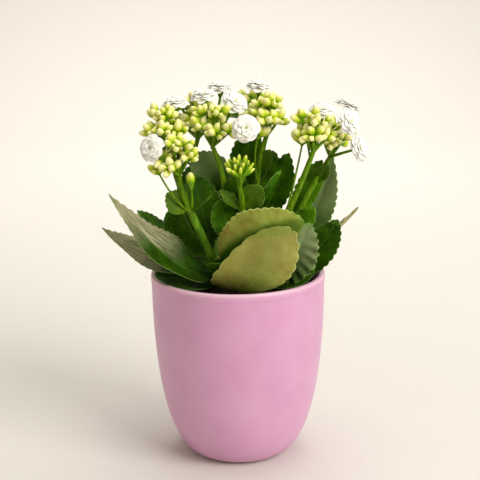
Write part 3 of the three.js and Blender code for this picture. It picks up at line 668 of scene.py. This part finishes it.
bm = bmesh.new()
for stem, share, bend, tip, faces, width, tone in LARGER:
    own = {**YOUNG_LEAF, "tone": tone}
    blade(bm, leaf_from(stem, share, bend, tip, faces, width, YOUNG_FOLD, YOUNG_CUP, own), 80, 16)
draw = repeatable(71)
for stem, (radii, points) in STEMS.items():
    for sprout in range(SPROUTS):
        share = between(draw, *SPROUT_FOOT)
        root = bezier(points, share)[0]
        turn = 2 * pi * ((sprout + 0.5 * draw()) / SPROUTS)
        out = Vector((cos(turn), sin(turn), 0))
        reach = between(draw, *SPROUT_REACH)
        tip = root + out * reach + Vector((0, 0, between(draw, *SPROUT_RISE)))
        bend = root + out * (0.6 * reach) + Vector((0, 0, 2))
        faces = Vector((0, 0, 1)) - out
        own = {**YOUNG_LEAF, "tone": between(draw, *SPROUT_TONE)}
        width = between(draw, *SPROUT_WIDTH)
        blade(bm, leaf_from(stem, share, bend, tip, faces, width, YOUNG_FOLD, YOUNG_CUP, own), 44, 10)
finish_piece(bm, "young_leaves", [upper_skin, under_skin], "leaf")


# ---- Flower heads ----
# Each stem ends in a light green stalk that forks into arms of closed buds, with small bract leaves at the
# forks. It all grew as one piece. A bud is four closed petals, round as a berry: green below, cream above.

STALK_RADIUS = 2.4
FORK_RADIUS = 1.8
ARM_RADIUS = 1.3
ARM_TIP = 1
ARM_SAG = 0.8
ARM_SPREAD = (0.7, 1.2)  # as shares of the fork's own spread and reach
ARM_REACH = (0.85, 1.15)
UPPER_ARMS = 5
UPPER_REACH = (1.35, 1.7)
BUD_LENGTH = 8.4
BUD_RADIUS = 3.1
BUD_SUNK = 0.9
BUD_ROOM = 5.4  # a bud comes no nearer than this to the middle of another
BUD_TRIES = 8
BUD_SIZES = (0.85, 1.15)
BUD_STALKS = (2.5, 4.5)
BUD_TILTS = (10, 50)
BUD_AGES = (-0.15, 0.15)
BUD_STALK_RADII = (0.8, 0.65, 0.9)
BUD_STALK_SUNK = 0.6
BUDS_PER_ARM = 2
EXTRA_BUDS = 8
EXTRA_ROOM = 3.9
EXTRA_SIZES = (0.65, 1.05)
EXTRA_STALKS = (2, 5.5)
UPRIGHT = 120  # degrees that unripe buds lean less
BLOOM_BACK = 1
BLOOM_ROOM = 12.5
CALYX_DEPTH = 3
CALYX_RADIUS = 2.6
CALYX_LENGTH = 5
SIDE_RADIUS = 0.9
SIDE_TIP = 0.7
BRACT_SAG = 2
BRACT_TONES = (-0.1, 0.1)
ARM_SEED = 41
FINE_SEED = 900
BRACT = {
    "fold": 0.15, "cup": 0.1, "waves": 5, "thickness": 1.4, "stalk_width": 2.6, "lobe": 3.2, "notch": 1.1,
    "ripple": 0.5, "core": 0, "haze": 0.1,
}

HEADS = {  # size and ripeness of its buds, its forks, its bracts and its open flowers
    # a fork: place, axis, arms, their reach and spread; a bract: share of the way up the stalk, reach, width,
    # where it faces; a flower: place, where it faces
    "left": (
        0.95, 0, [((-42, -30, 226), (-0.2, -0.1, 1), 5, 14, 46), ((-51, -9, 246), (-0.1, 0, 1), 5, 13, 48)],
        [(0.04, (-17, -3, 15), 19, (0.3, -1, 0.4)), (0.04, (16, -3, 13), 8, (-0.2, -0.2, 1))],
        [((-60, -36, 247), (-0.6, -0.8, 0.3)), ((-45, 6, 272), (-0.1, -0.2, 1))],
    ),
    "front": (
        0.68, -0.3, [((2, -33, 218), (0, 0, 1), 4, 7, 28)],
        [(0.1, (14, -1, 18), 19, (-0.3, -1, 0.4)), (0.1, (-17, 0, 15), 10, (0.6, -0.8, 0.6))], [],
    ),
    "middle_left": (
        1, 0.05, [((-18, 0, 242), (0, 0, 1), 5, 16, 44)], [],
        [((-1, 8, 273), (0.3, -0.6, 0.7)), ((-24, 12, 277), (-0.1, -0.3, 1))],
    ),
    "middle_right": (
        1, 0.05, [((23, 10, 248), (0.1, 0, 1), 5, 16, 42)], [(0.35, (9, -4, 17), 12, (-0.4, -1, 0.3))],
        [((7, -26, 259), (0, -0.95, 0.3))],
    ),
    "right": (
        1, 0, [((57, -9, 238), (0, 0, 1), 5, 15, 42)], [],
        [((83, -10, 260), (0.6, -0.7, 0.4)), ((64, 2, 266), (-0.1, -0.3, 1))],
    ),
    "far_right": (
        1, 0.1, [((72, 16, 230), (0.1, 0, 1), 5, 15, 40)], [(0.5, (10, -2, 14), 11, (-0.4, -1, 0.3))],
        [((90, -8, 240), (0.7, -0.6, 0.3)), ((84, 16, 267), (0.4, 0, 1))],
    ),
    "back_left": (
        1, 0, [((-30, 36, 242), (-0.1, 0.1, 1), 5, 16, 44)], [(0.4, (-14, 12, 12), 13, (0.4, 0.4, 1))],
        [((-12, 34, 280), (0, -0.2, 1)), ((-52, 52, 262), (-0.6, 0.6, 0.6))],
    ),
    "back": (
        1, 0, [((8, 42, 246), (0.1, 0.1, 1), 5, 16, 44)], [(0.4, (13, 12, 12), 13, (-0.4, 0.4, 1))],
        [((18, 34, 281), (0.1, -0.2, 1)), ((22, 66, 262), (0.3, 0.8, 0.5))],
    ),
}

# Thin stalks that leave a head below its forks: three points, and how many buds each carries and their size.
SIDE_STALKS = {
    "left": [
        (((-34, -28, 198), (-32, -35, 206), (-33, -35, 218)), 1, 1.1),
        (((-35, -29, 198), (-46, -36, 208), (-56, -35, 228)), 4, 0.8),
    ],
    "right": [
        (((38, -9, 196), (44, -8, 218), (49, -6, 243)), 3, 0.9),
        (((55, -8, 232), (54, -5, 240), (52, -4, 250)), 2, 0.9),
    ],
    "middle_right": [(((16, 10, 210), (12, 6, 230), (16, 4, 248)), 3, 0.9)],
}

# Places that a bloom or a bud has taken, and the room that each needs.
taken = [(Vector(at), BLOOM_ROOM) for head in HEADS.values() for at, faces in head[4]]


def around(axis, tilt, turn):
    """A direction tilted away from an axis, then turned about it."""
    sideways = Vector((1, 0, 0)).cross(axis).normalized()
    return Quaternion(axis, 2 * pi * turn) @ (Quaternion(sideways, radians(tilt)) @ axis)


def find_bud(knot, way, size, stalk, room):
    """A bud's foot, direction, size and stalk, or None where another bud or bloom is in the way."""
    root = knot - way * BUD_SUNK
    middle = root + way * (stalk + BUD_LENGTH * size / 2)
    if any((at - middle).length < apart for at, apart in taken):
        return None
    taken.append((middle, room))
    return root, way, size, stalk


def spray(fork, bud_size, draw):
    """The arms of one fork: each its fork, end and direction, and the buds that found room there."""
    at, axis, arms, reach, spread = fork
    main = Vector(axis).normalized()
    found = []
    for arm in range(arms + 1):
        tilt = 0 if arm == arms else spread * between(draw, *ARM_SPREAD)
        aim = around(main, tilt, (arm + 0.5 * draw()) / arms)
        knot = Vector(at) + aim * (reach * between(draw, *ARM_REACH))
        knot += main * (0.3 * reach if arm == arms else 0)
        upward = (aim + main).normalized()
        buds = []
        for bud in range(BUDS_PER_ARM):
            size = bud_size * between(draw, *BUD_SIZES)
            stalk = between(draw, *BUD_STALKS)
            for attempt in range(BUD_TRIES):
                tilt = between(draw, *BUD_TILTS)
                way = around(upward, tilt, (bud + 0.6 * draw()) / BUDS_PER_ARM)
                grown = find_bud(knot, way, size, stalk, BUD_ROOM * bud_size)
                if grown:
                    buds.append(grown)
                    break
        found.append((Vector(at), knot, upward, buds))
    return found


def more_buds(knot, upward, bud_size, number, draw, narrowest, widest):
    """Finer buds round the end of an arm, where there is still room, tilted between two angles."""
    buds = []
    for extra in range(number):
        size = bud_size * between(draw, *EXTRA_SIZES)
        stalk = between(draw, *EXTRA_STALKS)
        for attempt in range(3 * BUD_TRIES):
            way = around(upward, between(draw, narrowest, widest), (extra + draw()) / number)
            grown = find_bud(knot, way, size, stalk, EXTRA_ROOM * bud_size)
            if grown:
                buds.append(grown)
                break
    return buds


# The flesh of a flower stalk: fresh green, yellower than a stem's, with streaks about 2.5 mm wide.
stalk_flesh = green_flesh("flower_stalk_flesh", "#426C00", "#789E0C", 1 / 0.0025)

# Closed petals: cream at the tip, yellow-green below and fresh green in the cup of sepals, with a soft gloss.
bud_skin, tree, shader = new_material(
    "closed_bud_petals", Roughness=0.45, Specular_IOR_Level=0.3, Subsurface_Weight=0.25,
    Subsurface_Radius=(0.8, 1, 0.3), Subsurface_Scale=0.0015,
)
rise = add(tree, "Attribute", out="Fac", attribute_name="rise")
place = add(tree, "TexCoord", out="Object")
patch = add(tree, "TexNoise", {"Vector": place, "Scale": 1 / 0.005, "Detail": 3})
ripe = add(tree, "Math", {0: patch, 1: 0.5, 2: rise}, operation="MULTIPLY_ADD")
colour = add(
    tree, "ValToRGB", {"Fac": ripe},
    [(0.3, "#6A9A02"), (0.47, "#A4C20E"), (0.68, "#D6DE44"), (0.92, "#F8F4AA")],
)
bump = add(tree, "Bump", {"Height": patch, "Strength": 0.2, "Distance": 0.0003})
connect(tree, shader, colour, bump)


def bud_mesh():
    """One bud of length 1 and radius 1 along +Z, with four soft ridges where its petals fold over, and below
    it the narrow cup that it sits in."""
    bm = bmesh.new()
    cup = [(0, -0.45), (0.22, -0.44), (0.36, -0.28), (0.58, -0.05)]
    petals = [(0.82, 0.18), (0.93, 0.4), (0.88, 0.6), (0.66, 0.81), (0.34, 0.95), (0, 1)]
    turned(bm, cup + petals, 8)
    rise = bm.verts.layers.float.new("rise")
    for vert in bm.verts:
        ridge = 1 + 0.1 * cos(4 * atan2(vert.co.y, vert.co.x))
        vert[rise] = 0.85 * vert.co.z
        vert.co.x *= ridge
        vert.co.y *= ridge
    return mesh_from(bm, "bud")


def add_copy(bm, mesh, at, direction, turn, shape, material=0):
    """Adds a copy of a small mesh to a piece, shaped by a matrix, turned about +Z and then aimed along a
    direction. Gives back its vertices."""
    verts, faces = len(bm.verts), len(bm.faces)
    bm.from_mesh(mesh)
    bm.verts.ensure_lookup_table()
    bm.faces.ensure_lookup_table()
    for face in bm.faces[faces:]:
        face.material_index = material
    aim = Vector((0, 0, 1)).rotation_difference(direction).to_matrix().to_4x4()
    place = Matrix.Translation(at) @ aim @ Matrix.Rotation(turn, 4, "Z") @ shape
    bmesh.ops.transform(bm, matrix=place, verts=bm.verts[verts:])
    return bm.verts[verts:]


def bract(bm, root, reach, width, faces, tone):
    """A small thin leaf on a flower stalk."""
    tip = root + Vector(reach)
    bow = root.lerp(tip, 0.5) - Vector((0, 0, BRACT_SAG))
    leaf = {
        **OUTLINE, **LOOKS, "rib": (root, bow, tip), "long": (tip - root).length * 1.05,
        "faces": Vector(faces).normalized(), "width": width, **BRACT, "tone": tone,
    }
    blade(bm, leaf, 56, 12, (2, 2))


# The skin of bracts: a bright light green on both sides, their own young green with painted light shining
# through them from behind.
young_backlit_skin = leaf_skin(
    "young_backlit_bract", [(0.25, "#2E4E00"), (0.6, "#456602"), (1.0, "#70940E")], vein="#729428",
    edge="#A4BC5C", core="#3C6804", warm="#7DA04A", cool="#7DA04A", roughness=0.42, vein_strength=0.45,
)
closed_bud = bud_mesh()
sprays = {}
for order, (name, head) in enumerate(HEADS.items()):
    draw = repeatable(ARM_SEED + order)
    sprays[name] = [spray(fork, head[0], draw) for fork in head[2]]

for order, (name, (bud_size, ripeness, forks, bracts, blooms)) in enumerate(HEADS.items()):
    bm = bmesh.new()
    draw = repeatable(FINE_SEED + order)
    top, out = bezier(STEMS[name][1], 1)
    curves = []
    for fork in forks:
        place = Vector(fork[0])
        curves.append((top, top + out * ((place - top).length / 2), place))
    tubes(bm, [run_along(curve, STALK_RADIUS, FORK_RADIUS, 16) for curve in curves], 12)
    slim = max(0, -ripeness)  # unripe buds are longer and slimmer, and lean less
    thin, buds = [], []
    # The stalk and the green cup under each open flower.
    for place, faces in blooms:
        facing = Vector(faces).normalized()
        foot = Vector(place) - facing * (BLOOM_BACK + SEAT_GAP + CALYX_DEPTH)
        fork = min((curve[2] for curve in curves), key=lambda point: (point - foot).length)
        bow = foot - facing * (0.4 * (fork - foot).length)
        thin.append(run_along((fork, bow, foot + facing * CALYX_DEPTH / 4), ARM_RADIUS, ARM_TIP, 12))
        shape = Matrix.Diagonal((CALYX_RADIUS, CALYX_RADIUS, CALYX_LENGTH, 1))
        add_copy(bm, closed_bud, foot, facing, 0, shape)
    # The arms of each fork, with buds round their ends.
    for arms in sprays[name]:
        for fork, knot, upward, first in arms:
            bend = fork.lerp(knot, 0.5) - Vector((0, 0, ARM_SAG))
            thin.append(run_along((fork, bend, knot), ARM_RADIUS, ARM_TIP, 5))
            buds += first + more_buds(knot, upward, bud_size, EXTRA_BUDS, draw, 10, 80 - UPRIGHT * slim)
    # More and steeper arms, which fill the middle of the spray.
    for at, axis, arms, reach, spread in forks:
        for arm in range(UPPER_ARMS):
            tilt = 0.5 * spread * draw() + 4
            aim = around(Vector(axis).normalized(), tilt, (arm + 0.5 * draw()) / UPPER_ARMS)
            knot = Vector(at) + aim * (reach * between(draw, *UPPER_REACH))
            thin.append(run_along((at, Vector(at).lerp(knot, 0.5), knot), ARM_RADIUS, ARM_TIP, 5))
            buds += more_buds(knot, aim, bud_size, EXTRA_BUDS // 2, draw, 5, 75 - UPRIGHT * slim)
    # The side stalks, with a lone bud or a few.
    for points, number, size in SIDE_STALKS.get(name, []):
        thin.append(run_along(points, SIDE_RADIUS, SIDE_TIP, 12))
        end, upward = bezier(points, 1)
        if number == 1:
            buds.append((end, upward, size, 2))
        else:
            buds += more_buds(end, upward, size / 0.75, number, draw, 8, 50)
    # Each bud on a thin stalk of its own, some greener and some creamier.
    for root, way, size, stalk in buds:
        points = (root, root + way * stalk * 0.5, root + way * (stalk + BUD_STALK_SUNK))
        thin.append(list(zip(points, BUD_STALK_RADII)))
        length, radius = BUD_LENGTH * size * (1 + 2 * slim), BUD_RADIUS * size * (1 - 0.4 * slim)
        shape = Matrix.Diagonal((radius, radius, length, 1))
        grown = add_copy(bm, closed_bud, root + way * stalk, way, pi * draw(), shape, 1)
        rise = bm.verts.layers.float["rise"]
        age = ripeness + between(draw, *BUD_AGES)
        for vert in grown:
            vert[rise] += age
    tubes(bm, thin, 8)
    for share, reach, width, faces in bracts:
        bract(bm, bezier(curves[0], share)[0], reach, width, faces, between(draw, *BRACT_TONES))
    skins = [stalk_flesh, bud_skin, young_backlit_skin]
    finish_piece(bm, name + "_flower_head", skins, "flower_stalk", "flower_head_" + name)


# ---- Blooms ----
# Open double flowers, about 20 mm across: whorls of thin white petals, each whorl shorter and steeper than
# the one below it, round a cream-green heart.

PETAL_THICKNESS = 0.08  # as a share of its length
PETAL_ROOT = 0.4
PETAL_TURNS = (-0.07, 0.07)
PETAL_TILTS = (-4, 4)
PETAL_LENGTHS = (0.94, 1)
WHORLS = [  # petals, length, tilt in degrees, height of its foot, width as a share of length, ripeness
    (7, 10.4, 6, 0.2, 0.95, 1),
    (7, 9.8, 16, 0.6, 0.95, 1),
    (6, 8.8, 27, 1, 0.95, 1),
    (6, 7.2, 40, 1.4, 0.95, 0.95),
    (4, 5, 56, 1.8, 0.95, 0.6),
    (3, 3, 75, 1.6, 0.9, 0.15),
]

# Soft white petals: matt, a little see-through, cream-green towards the heart. Their fibres are drawn 1.2 mm
# wide, coarser than real ones, so that they show.
petal_skin, tree, shader = new_material(
    "white_petal", Roughness=0.7, Subsurface_Weight=0.05, Subsurface_Radius=(1, 0.97, 0.8),
    Subsurface_Scale=0.001, Sheen_Weight=0.6, Sheen_Roughness=0.5,
)
reach = add(tree, "Attribute", out="Fac", attribute_name="reach")
place = add(tree, "TexCoord", out="Object")
fibre = add(tree, "TexNoise", {"Vector": place, "Scale": 1 / 0.0012, "Detail": 3})
tint = add(tree, "Math", {0: fibre, 1: 0.12, 2: reach}, operation="MULTIPLY_ADD")
white = add(tree, "ValToRGB", {"Fac": tint}, [(0.1, "#CCDA70"), (0.24, "#FAF8D2"), (0.4, "#FFFEF4")])
bump = add(tree, "Bump", {"Height": fibre, "Strength": 0.05, "Distance": 0.0002})
connect(tree, shader, white, bump)


def petal_mesh():
    """One petal of length 1 along +X, cupped up at its sides and curled down at its broad round end."""
    bm = bmesh.new()
    reach = bm.verts.layers.float.new("reach")
    for side in (1, -1):
        for vert in bmesh.ops.create_grid(bm, x_segments=6, y_segments=4, size=1)["verts"]:
            u, v = sin((vert.co.x + 1) * pi / 4), vert.co.y
            half = 0.5 * sin(pi * min(1, 0.14 + 0.86 * u**2.4)) ** 0.5 if u < 0.999 else 0
            lift = 0.2 * v * v * half + 0.1 * sin(pi * u) - 0.12 * u**3
            edge = max(0, 1 - abs(v) ** 3) * (1 - u**6)
            vert[reach] = u
            vert.co = (u, half * v, lift + side * edge * PETAL_THICKNESS / 2)
    bmesh.ops.remove_doubles(bm, verts=bm.verts, dist=1e-4)
    bmesh.ops.recalc_face_normals(bm, faces=bm.faces)
    return mesh_from(bm, "petal")


petal = petal_mesh()
draw = repeatable(313)
for name, head in HEADS.items():
    for number, (at, faces) in enumerate(head[4], 1):
        bm = bmesh.new()
        facing = Vector(faces).normalized()
        for whorl, (petals, length, tilt, foot, breadth, ripeness) in enumerate(WHORLS):
            for i in range(petals):
                shift = 0.5 * (whorl % 2) + between(draw, *PETAL_TURNS)
                turn = 2 * pi * (i + shift) / petals + whorl
                lean = Matrix.Rotation(-radians(tilt + between(draw, *PETAL_TILTS)), 4, "Y")
                long = length * between(draw, *PETAL_LENGTHS)
                size = Matrix.Diagonal((long, long * breadth, long, 1))
                shape = Matrix.Translation((PETAL_ROOT, 0, foot)) @ lean @ size
                added = add_copy(bm, petal, at, facing, turn, shape)
                reach = bm.verts.layers.float["reach"]
                for vert in added:
                    vert[reach] *= ripeness
        finish_piece(bm, f"{name}_bloom_{number}", [petal_skin], "petal", f"bloom_{name}_{number}")


# ---- Floor, light and camera ----
# A plain pale floor that curves up into a wall all round, a large soft window light high on the right, weaker
# ones on the left and above, one for the wall behind, and the camera where the photograph was taken from.

FLOOR_RADIUS = 1.6  # in metres, as all of this section, to where the floor starts to curve up
CURVE_RADIUS = 1
WALL_HEIGHT = 2.4

# Matt pale paper with a tooth of 2.5 mm, which keeps the floor even and quiet.
paper, tree, shader = new_material("pale_backdrop", Roughness=0.8)
place = add(tree, "TexCoord", out="Object")
tooth = add(tree, "TexNoise", {"Vector": place, "Scale": 1 / 0.0025, "Detail": 3})
pale = add(tree, "ValToRGB", {"Fac": tooth}, [(0.3, "#E2DDD6"), (0.7, "#E6E2DB")])
tree.links.new(pale, shader.inputs["Base Color"])

bm = bmesh.new()
bend = [(FLOOR_RADIUS + CURVE_RADIUS * sin(a), CURVE_RADIUS * (1 - cos(a))) for a in span(0, pi / 2, 16)]
outline = [(0, 0), *bend, (FLOOR_RADIUS + CURVE_RADIUS, WALL_HEIGHT)]
turned(bm, outline, 96)
bmesh.ops.reverse_faces(bm, faces=bm.faces)
for face in bm.faces:
    face.smooth = True
backdrop = new_object("backdrop", mesh_from(bm, "backdrop"))
backdrop.data.materials.append(paper)

LIGHTS = [  # name, place, where it aims, size, spread in degrees, power and colour
    ("window", (1.1, -1.0, 1.1), (0, 0, 0.15), 1.0, 180, 24, "#FFFEFB"),
    ("fill", (-1.3, -0.8, 0.9), (0, 0, 0.15), 1.4, 180, 1.2, "#FFE8D0"),
    ("top", (0.1, 0.2, 1.5), (0, 0, 0.15), 1.0, 180, 8, "#FFFDF8"),
    ("backdrop_lamp", (0, 1.3, 2.0), (0, 1.6, 0), 1.2, 90, 10, "#FFFDF8"),
]
for name, at, towards, size, spread, power, colour in LIGHTS:
    lamp = bpy.data.lights.new(name, "AREA")
    lamp.size, lamp.energy, lamp.color = size, power, linear(colour)[:3]
    lamp.spread = radians(spread)
    stand = new_object(name, lamp)
    aim = (Vector(towards) - Vector(at)).to_track_quat("-Z", "Y")
    stand.matrix_world = Matrix.Translation(at) @ aim.to_matrix().to_4x4()

world = bpy.data.worlds.new("soft_room")
bpy.context.scene.world = world
world.use_nodes = True
world.node_tree.nodes["Background"].inputs["Color"].default_value = linear("#FFFCF7")
world.node_tree.nodes["Background"].inputs["Strength"].default_value = 0.34
bpy.context.scene.view_settings.view_transform = "Standard"

CAMERA_BACK = 0.85  # in front of the pot's middle
CAMERA_HEIGHT = 0.383
CAMERA_PITCH = radians(14.12)
CAMERA_ROLL = radians(-0.71)
SENSOR_WIDTH = 36
PHOTO_WIDTH = 480  # in the photograph's pixels, as the next two
FOCAL_LENGTH = 1143.4
SIDE_SHIFT = 2.51

camera = bpy.data.cameras.new("camera")
camera.sensor_width = SENSOR_WIDTH
camera.lens = FOCAL_LENGTH * SENSOR_WIDTH / PHOTO_WIDTH
camera.shift_x = SIDE_SHIFT / PHOTO_WIDTH
eye = new_object("camera", camera)
eye.matrix_world = (
    Matrix.Translation((0, -CAMERA_BACK, CAMERA_HEIGHT))
    @ Matrix.Rotation(pi / 2 - CAMERA_PITCH, 4, "X")
    @ Matrix.Rotation(CAMERA_ROLL, 4, "Z")
)
bpy.context.scene.camera = eye
